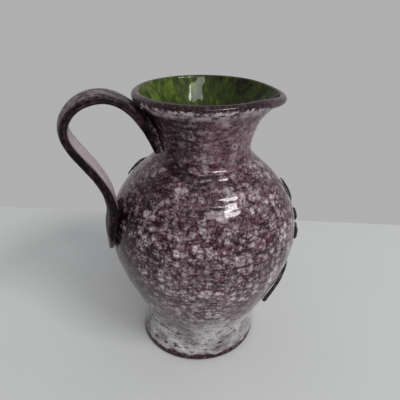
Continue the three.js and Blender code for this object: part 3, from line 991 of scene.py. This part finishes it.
@dataclass(frozen=True)
class Belly(TurnedPiece):
    """The belly, hollow and open at the neck, with a ledge where slip was smeared down on its shoulder."""

    NODE = "thrown_belly"
    SLOT = Slot.BELLY

    widest: float = 98.0
    waist_pull: float = 18.0
    waist_lean: float = 20.0
    lower_pull: float = 26.0
    upper_pull: float = 29.0
    shoulder_pull: float = 17.0
    shoulder_lean: float = 53.0
    floor_top: float = 20.3
    floor_dish: float = 1.0
    side_steps: int = 90
    inside_steps: int = 30
    # Marks of the fingers, deepest on the shoulder
    ring_depth: float = 0.035
    shoulder_rings: Bell = Bell(0.11, 143.0, 8.0)
    ring_drift: tuple[Wave, Wave] = (Wave(0.9, 2, 0.05), Wave(0.7, 5, -0.13))
    ring_fading: tuple[Wave, Wave] = (Wave(0.3, 3, 0.31), Wave(0.2, 7, -0.47))
    dents: tuple[Wave, Wave] = (Wave(0.10, 4, 0.17), Wave(1.0, 2, 0.21))
    # The face is set back, so that its marks stay near that of the solid, and has none at the seam
    set_back: float = 0.16
    bare_seam: float = 3.0
    # Ragged edge of the slip, with angles in radians
    ledge: float = 151.2
    ledge_dip: Bell = Bell(3.2, -1.63, 0.36)
    ledge_waves: tuple[Wave, Wave] = (Wave(0.35, 9, start=1.0), Wave(0.25, 23))
    slip_thickness: float = 0.45
    slip_edge: float = 0.6
    # Ridge under the edge and groove over it, on the stretch that faces the viewer
    ridge: Bell = Bell(0.45, -0.9, 1.1)
    groove: Bell = Bell(0.75, 1.2, 1.4)
    groove_end: Pair = (-0.3, -2.0)
    front_azimuth: float = -1.84
    front_fade: Pair = (0.60, 0.25)
    # Where the groove's pooled glaze and painted shade start and end, above the ledge's edge
    pool_and_shade_start: Pair = (-0.5, 0.3)
    pool_and_shade_end: Pair = (7.0, 2.5)
    # Dark glaze pooled below the ledge and in the crease under the neck, deepened with painted shade
    pools: tuple[Band, Band] = (
        Band(146.0, 6.5, "#1e060d", 0.5, patch_mm=11, left_mm=-38, right_mm=30),
        Band(154.5, 4.0, "#260f17", 0.5, patch_mm=9),
    )
    white_mm: Pair = (55.0, 27.0)

    def side(self, steps: int) -> Outline:
        """Outside from the waist to the neck's seat.

        Args:
            steps: Steps in each half, below and above the widest place.

        Returns:
            Its points.
        """
        z = self.sizes
        waist = (z.waist_radius, z.foot)
        shoulder = (z.neck_base_radius, z.seat)
        widest = (z.belly_radius, self.widest)
        lower = bezier([
            waist,
            pulled(waist, self.waist_pull, self.waist_lean),
            pulled(widest, -self.lower_pull, 0),
            widest,
        ], steps)
        upper = bezier([
            widest,
            pulled(widest, self.upper_pull, 0),
            pulled(shoulder, -self.shoulder_pull, -self.shoulder_lean),
            shoulder,
        ], steps)
        return [(radius - z.seam(height), height) for radius, height in lower] + upper[1:]

    def stretches(self) -> list[tuple[Zone, Outline]]:
        """Spigot and outside, then the inside down to the floor.

        Returns:
            The outline in two zones.
        """
        z = self.sizes
        under = [(0, z.floor_under), (z.spigot_radius, z.floor_under), (z.spigot_radius, z.foot)]
        bore = [(z.neck_base_radius - z.wall, z.seat)]
        inside = inset(self.side(self.inside_steps), z.wall)[-2::-1]
        well = [(z.spigot_radius - z.wall / 2, self.floor_top + self.floor_dish), (0, self.floor_top)]
        return [(Zone.OUTSIDE, under + self.side(self.side_steps)), (Zone.INSIDE, bore + inside + well)]

    def finishes(self) -> list[bpy.types.Material]:
        """Aubergine glaze outside, which takes the lip's place in the order too, and green glaze inside.

        Returns:
            The three finishes.
        """
        glaze = MottledGlaze("aubergine_glaze_on_thrown_belly", white_mm=self.white_mm, bands=self.pools)
        skin = glaze.build()
        return [skin, skin, GreenGlaze("green_glaze_inside_belly").build()]

    def above_ledge(self, azimuth: np.ndarray, height: np.ndarray) -> np.ndarray:
        """Height above the ragged edge of the slip."""
        ragged = sum(wave.at(azimuth, height) for wave in self.ledge_waves)
        return height - (self.ledge - self.ledge_dip.at(azimuth) + ragged)

    def front(self, azimuth: np.ndarray) -> np.ndarray:
        """Share of the deep stretch of the ledge, towards the viewer."""
        return smoothstep(*self.front_fade, np.abs(azimuth - self.front_azimuth))

    def relief(self, azimuth: np.ndarray, height: np.ndarray) -> np.ndarray:
        """Spiral marks of the fingers, soft dents, and the slip with its ridge and groove.

        Args:
            azimuth: Grid of angles.
            height: Grid of heights.

        Returns:
            How far they stand out, in millimetres.
        """
        z = self.sizes
        drift = sum(wave.at(azimuth, height) for wave in self.ring_drift)
        fading = 0.5 + sum(wave.at(azimuth, height) for wave in self.ring_fading)
        depth = fading * (self.ring_depth + self.shoulder_rings.at(height))
        rings = depth * (0.5 + 0.5 * np.sin(2 * math.pi * height / z.ring_pitch + azimuth + drift))
        dents = self.dents[0].at(azimuth, height) * self.dents[1].at(azimuth, height)
        above = self.above_ledge(azimuth, height)
        slip = self.slip_thickness * smoothstep(-self.slip_edge, self.slip_edge, above)
        start, end = (z.slip_root()[1] + reach for reach in self.groove_end)
        groove = (self.ridge.at(above) - self.groove.at(above)) * smoothstep(start, end, height)
        marks = dents - rings - self.set_back + slip + groove * self.front(azimuth)
        return marks * smoothstep(z.foot, z.foot + self.bare_seam, height)

    def mark(self, mesh: bpy.types.Mesh, azimuth: np.ndarray, height: np.ndarray) -> None:
        """Writes the share of dark glaze that gathered in the groove, deepened with painted shade under the
        ledge.

        Args:
            mesh: Mesh of the belly.
            azimuth: Grid of angles.
            height: Grid of heights.
        """
        above = self.above_ledge(azimuth, height)
        pool = smoothstep(*self.pool_and_shade_start, above) * smoothstep(*self.pool_and_shade_end, above)
        write_share(mesh, "pool", self.front(azimuth) * pool)


@dataclass(frozen=True)
class Neck(TurnedPiece):
    """The flared neck with its rolled lip, drawn out and down to a spout."""

    NODE = "neck_collar"
    SLOT = Slot.NECK
    CLOSED = True

    rim_radius: float = 45.0
    rim_slope: float = 24.0
    rim_pull: float = 13.0
    base_pull: float = 15.0
    lip_radius: float = 3.4
    lip_undercut: float = 105.0
    lip_inner_edge: float = 116.0
    slip_height: float = 6.5
    slip_pull_share: float = 0.75
    slip_top_share: float = 0.6
    slip_hollow: float = 0.1
    spout_reach: float = 6.6
    spout_dip: float = 3.0
    spout_half_angle: float = 48.0
    spout_depth: float = 20.0
    # How much lower the dark glaze of the lip runs at the spout than the lip itself
    spout_run: float = 1.0
    side_steps: int = 60
    slip_steps: int = 16
    lip_steps: int = 24
    inside_steps: int = 40
    # Faint marks of the fingers, wider apart than on the belly
    ring_depth: float = 0.07
    ring_pitch_share: float = 1.6
    ring_drift: Wave = Wave(0.5, 3)
    # Pale glaze under the lip, and dark pooled glaze with painted shade in the crease on the shoulder
    bands: tuple[Band, Band] = (
        Band(192.0, 3.5, "#cdc0c5", 0.9, patch_mm=5),
        Band(158.0, 4.0, "#260f17", 0.5, patch_mm=9),
    )

    def lip(self) -> Outline:
        """The rolled lip from the crease under it over the top to the inside."""
        centre = (self.rim_radius, self.sizes.rim - self.lip_radius)
        return arc(centre, self.lip_radius, -self.lip_undercut, self.lip_inner_edge, self.lip_steps)

    def outside(self) -> Outline:
        """Outside from the foot of its slip on the shoulder to the crease under the lip.

        Returns:
            Its points.
        """
        z = self.sizes
        crease = self.lip()[0]
        side = bezier([
            (z.neck_base_radius, z.seat),
            (z.neck_base_radius, z.seat + self.base_pull),
            pulled(crease, -self.rim_pull, self.rim_slope),
            crease,
        ], self.side_steps)
        above = [point for point in side if point[1] > z.seat + self.slip_height]
        root = z.slip_root()
        top = above[0]
        pull = z.slip_reach * self.slip_pull_share
        slip = bezier([
            root,
            (root[0] - pull, root[1] + pull * z.slip_slope),
            (top[0] - self.slip_hollow, top[1] - self.slip_height * self.slip_top_share),
            top,
        ], self.slip_steps)
        return slip + above[1:]

    def stretches(self) -> list[tuple[Zone, Outline]]:
        """Outside, lip, and the inside down to the bore.

        Returns:
            The outline in three zones.
        """
        z = self.sizes
        lip = self.lip()[1:]
        top = lip[-1]
        bore = (z.neck_base_radius - z.wall, z.seat)
        flare = pulled(top, -self.rim_pull, self.rim_slope)
        inside = bezier([top, flare, (bore[0], bore[1] + self.base_pull), bore], self.inside_steps)[1:]
        return [(Zone.OUTSIDE, self.outside()), (Zone.LIP, lip[:-2]), (Zone.INSIDE, lip[-2:] + inside)]

    def finishes(self) -> list[bpy.types.Material]:
        """Aubergine glaze outside, dark glaze on the lip and green glaze inside.

        Returns:
            The three finishes.
        """
        streaks = Patches(1.5, seed=4, drawn=(0.45, 0.45, 1.0))
        # The neck is also painted darker towards the handle, as painted shade
        skin = MottledGlaze("aubergine_glaze_on_thrown_neck", pale="#dccfd4", spot_mm=6.5, spot_share=0.9,
                            streaks=streaks, painted_shade_x_mm=(16.0, -30.0), painted_shade_share=0.20, lightness=0.04,
                            bands=self.bands)
        edge = self.sizes.rim - self.lip_radius
        lip = LipGlaze("dark_glaze_pooled_on_lip", edge_mm=edge, dip_mm=self.spout_dip + self.spout_run)
        return [skin.build(), lip.build(), GreenGlaze("green_glaze_inside_neck").build()]

    def relief(self, azimuth: np.ndarray, height: np.ndarray) -> np.ndarray:
        """Faint marks of the fingers.

        Args:
            azimuth: Grid of angles.
            height: Grid of heights.

        Returns:
            How far they stand out, in millimetres.
        """
        pitch = self.ring_pitch_share * self.sizes.ring_pitch
        phase = 2 * math.pi * height / pitch + azimuth + self.ring_drift.at(azimuth, height)
        return -self.ring_depth * (1 + np.sin(phase))

    def place(self, grid: np.ndarray) -> np.ndarray:
        """Pulls the spout, and moves the grid to the axis.

        Args:
            grid: Spun grid about the neck's own axis.

        Returns:
            The grid in its place.
        """
        azimuth = np.arctan2(grid[..., 1], grid[..., 0])
        turn = np.minimum(np.abs(azimuth) / math.radians(self.spout_half_angle), 1)
        rise = smoothstep(self.sizes.rim - self.spout_depth, self.sizes.rim, grid[..., 2])
        pull = np.cos(turn * math.pi / 2) ** 2 * rise
        reach = self.spout_reach * pull
        dip = self.spout_dip * pull
        shift = np.stack([reach * np.cos(azimuth), reach * np.sin(azimuth), -dip], axis=-1)
        return super().place(grid + shift)


@dataclass(frozen=True)
class PressedPiece:
    """A hand-shaped piece of clay: the solid of its node made smooth, with soft dents."""

    node: str
    slot: Slot
    dent_size_mm: float
    dent_mm: float = 0.5
    # Level of the noise that leaves the face where it is, so that most of it is pressed in
    dent_level: float = 0.75
    smoothing: int = 2
    # Largest angle, in radians, across which two triangles become one face
    join_angle: float = 1.2

    def build(self, skin: bpy.types.Material) -> bpy.types.Object:
        """Makes the smooth copy of the node and dresses it.

        Args:
            skin: Its finish.

        Returns:
            The dressed piece.
        """
        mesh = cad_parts[self.node].data.copy()
        mesh.name = self.node
        work = bmesh.new()
        work.from_mesh(mesh)
        bmesh.ops.remove_doubles(work, verts=work.verts, dist=WELD)
        bmesh.ops.dissolve_degenerate(work, edges=work.edges, dist=SLIVER)
        bmesh.ops.join_triangles(work, faces=work.faces, angle_face_threshold=self.join_angle,
                                 angle_shape_threshold=self.join_angle)
        bmesh.ops.dissolve_verts(work, verts=[v for v in work.verts if len(v.link_edges) == 2])
        work.to_mesh(mesh)
        work.free()
        mesh.shade_smooth()
        mesh.materials.clear()
        mesh.materials.append(skin)
        obj = bpy.data.objects.new(f"glazed_{self.node}", mesh)
        rounding = obj.modifiers.new("round", "SUBSURF")
        rounding.levels = self.smoothing
        rounding.render_levels = self.smoothing
        dents = bpy.data.textures.new(f"dents_{self.node}", "CLOUDS")
        dents.noise_scale = self.dent_size_mm * MM
        press = obj.modifiers.new("dents", "DISPLACE")
        press.texture = dents
        press.strength = self.dent_mm * MM
        press.mid_level = self.dent_level
        press.texture_coords = "LOCAL"
        return show(obj, self.node)


@dataclass(frozen=True)
class StrapHandle:
    """The pulled strap, with its broad faces told from its edges, and glaze run on it from the neck."""

    NODE: ClassVar[str] = "strap_handle"

    sizes: JugSizes
    # Way that it points in degrees, and how far its middle lies to the side of the jug's axis
    azimuth: float = 195.0
    shift: float = 8.0
    half_width: float = 13.0
    edge_band: float = 3.2
    edge_full: float = 0.3
    inner_thinning: float = 0.7
    facing: Pair = (-0.1, 0.3)
    # Middle of the gap for the fingers, from the jug's axis and from the table
    gap_reach: float = 62.0
    gap_height: float = 165.0
    # Tail at the neck: its reach, and how far below the middle of the gap it can start
    tail_reach: float = 46.0
    tail_fade: float = 14.0
    tail_drop: float = 10.0
    run_depth: float = 4.0
    dent_size: float = 9.0

    def mark(self, mesh: bpy.types.Mesh) -> None:
        """Writes how far each point is on an edge, on the inner face, and in the glaze run off the neck.

        Args:
            mesh: Mesh of the strap.
        """
        neck = np.array(Neck(self.sizes).outside())
        angle = math.radians(self.azimuth)
        outwards = Vector((math.cos(angle), math.sin(angle), 0))
        sideways = Vector((-outwards.y, outwards.x, 0))
        origin = Vector((self.sizes.axis * MM, 0, 0))
        gap = origin + outwards * self.gap_reach * MM + Vector((0, 0, self.gap_height * MM))
        tail_start = gap.z - self.tail_drop * MM
        shares: dict[str, list[float]] = {"edge": [], "inner": [], "joint": []}
        for vertex in mesh.vertices:
            from_axis = vertex.co - origin
            reach = from_axis.dot(outwards) / MM
            tail = smoothstep(self.tail_reach + self.tail_fade, self.tail_reach, reach)
            tail *= vertex.co.z > tail_start
            off_neck = from_axis.to_2d().length / MM - np.interp(vertex.co.z / MM, neck[:, 1], neck[:, 0])
            shares["joint"].append(smoothstep(self.run_depth, self.run_depth / 2, off_neck) * tail)
            level_normal = vertex.normal - sideways * vertex.normal.dot(sideways)
            inner = smoothstep(*self.facing, level_normal.dot((gap - vertex.co).normalized()))
            shares["inner"].append(inner)
            band = self.edge_band * (1 - self.inner_thinning * inner)
            side = abs(from_axis.dot(sideways) / MM - self.shift)
            rim = smoothstep(self.half_width - band, self.half_width - self.edge_full, side)
            shares["edge"].append(max(rim, tail))
        for name, values in shares.items():
            write_share(mesh, name, values)

    def build(self) -> bpy.types.Object:
        """Makes the strap and dresses it.

        Returns:
            The dressed strap.
        """
        skin = StrapGlaze("aubergine_glaze_wiped_on_strap", self.azimuth).build()
        strap = PressedPiece(self.NODE, Slot.HANDLE, self.dent_size).build(skin)
        self.mark(strap.data)
        return strap


@dataclass(frozen=True)
class Branch:
    """The applied branch: stem, twig, leaves and blossoms, one piece for each of its nodes."""

    nodes: tuple[str, ...]
    dent_size: float = 3.0

    def build(self) -> list[bpy.types.Object]:
        """Makes every piece of the branch and dresses it in the same glaze."""
        skin = DarkGlaze("black_brown_glaze_on_pressed_clay").build()
        return [PressedPiece(node, Slot.SPRIG, self.dent_size).build(skin) for node in self.nodes]


@dataclass(frozen=True)
class Jug:
    """The whole jug: turned body, strap handle and applied branch."""

    sizes: JugSizes

    def build(self) -> list[bpy.types.Object]:
        """Makes every piece.

        Returns:
            The pieces from the foot up, then the handle and the branch.
        """
        body = [part(self.sizes) for part in (Foot, Belly, Neck, StrapHandle)]
        branch = Branch(tuple(sorted(set(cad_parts) - {part.NODE for part in body})))
        return [part.build() for part in body] + branch.build()


@dataclass(frozen=True)
class Lamp:
    """A soft rectangular light that faces the jug, in metres and watts."""

    name: str
    towards: tuple[float, float, float]
    size: Pair
    power: float
    distance: float = 2.2
    aim_height: float = 0.1

    def build(self) -> None:
        """Hangs the lamp."""
        light = bpy.data.lights.new(self.name, "AREA")
        light.shape = "RECTANGLE"
        light.size, light.size_y = self.size
        light.energy = self.power
        obj = bpy.data.objects.new(self.name, light)
        way = Vector(self.towards)
        obj.location = Vector((0, 0, self.aim_height)) + way.normalized() * self.distance
        obj.rotation_euler = (-way).to_track_quat("-Z", "Y").to_euler()
        bpy.context.scene.collection.objects.link(obj)


@dataclass(frozen=True)
class Studio:
    """Pale table before a pale wall, a window of soft light and the camera of the photograph."""

    camera_mm: tuple[float, float, float] = (1.04, -284.1, 262.7)
    pitch: float = 27.18
    roll: float = 0.47
    focal_mm: float = 38.31
    sensor_mm: float = 36.0
    wall_mm: float = 184.0
    wall_turn: float = -4.5
    table_mm: Pair = (4000.0, 3000.0)
    ceiling: str = "#acadb0"
    left_wall: str = "#565558"
    right_wall: str = "#9c9da0"
    back_wall: str = "#a8a7a8"
    lamps: tuple[Lamp, Lamp] = (
        Lamp("window", (0.48, -0.48, 0.72), (0.75, 0.42), 13.5),
        Lamp("curtain", (0.18, -0.66, 0.72), (0.80, 0.42), 4.2),
    )

    def table(self) -> None:
        """Adds the pale table, which ends at the foot of the wall behind the jug."""
        width, depth = metres(self.table_mm)
        corners = [(-width / 2, -depth, 0), (width / 2, -depth, 0), (width / 2, 0, 0), (-width / 2, 0, 0)]
        mesh = bpy.data.meshes.new("table")
        mesh.from_pydata(corners, [], [(0, 1, 2, 3)])
        mesh.materials.append(TablePaint("pale_table_paint").build())
        obj = bpy.data.objects.new("table", mesh)
        turn = Matrix.Rotation(math.radians(self.wall_turn), 4, "Z")
        obj.matrix_world = Matrix.Translation((0, self.wall_mm * MM, 0)) @ turn
        bpy.context.scene.collection.objects.link(obj)

    def room(self) -> bpy.types.World:
        """Makes the rest of the room: a ceiling, a wall behind the jug, and walls on the other sides.

        Returns:
            The world that lights the scene.
        """
        world = bpy.data.worlds.new("soft_room")
        world.use_nodes = True
        tree = world.node_tree
        tree.nodes.clear()
        way = add(tree, "TexCoord").outputs["Generated"]
        x, y, z = add(tree, "SeparateXYZ", (way,)).outputs
        # Each wall takes over from the one before as the way turns towards it
        light = linear(self.left_wall)
        for axis, start, end, shade in ((x, -1.0, 1.0, self.right_wall), (y, -0.1, 0.5, self.back_wall),
                                        (z, 0.0, 0.9, self.ceiling)):
            share = add(tree, "MapRange", (axis, start, end))
            light = add(tree, "Mix", {0: share, 6: light, 7: linear(shade)}, **COLOURS)
        sky = add(tree, "Background", {"Color": light, "Strength": 1.0})
        add(tree, "OutputWorld", (sky,))
        return world

    def camera(self) -> bpy.types.Object:
        """Sets up the camera of the photograph.

        Returns:
            The camera.
        """
        lens = bpy.data.cameras.new("photo_camera")
        lens.lens = self.focal_mm
        lens.sensor_width = self.sensor_mm
        camera = bpy.data.objects.new("photo_camera", lens)
        tilt = Matrix.Rotation(math.radians(90 - self.pitch), 4, "X")
        roll = Matrix.Rotation(math.radians(self.roll), 4, "Z")
        camera.matrix_world = Matrix.Translation(Vector(self.camera_mm) * MM) @ tilt @ roll
        bpy.context.scene.collection.objects.link(camera)
        return camera

    def build(self) -> None:
        """Makes the table, lamps, room and camera."""
        scene = bpy.context.scene
        # The photograph has the strong contrast of a phone picture
        scene.view_settings.view_transform = "Standard"
        scene.view_settings.look = "Medium High Contrast"
        self.table()
        for lamp in self.lamps:
            lamp.build()
        scene.world = self.room()
        scene.camera = self.camera()


def main() -> None:
    """Builds the studio and the jug, and notes each piece with its number of faces."""
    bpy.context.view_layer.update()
    Studio().build()
    for piece in Jug(JugSizes.from_frame()).build():
        LOG.info("%s with %d faces", piece.name, len(piece.data.polygons))


if __name__ == "__main__":
    logging.basicConfig(level=logging.INFO)
    main()
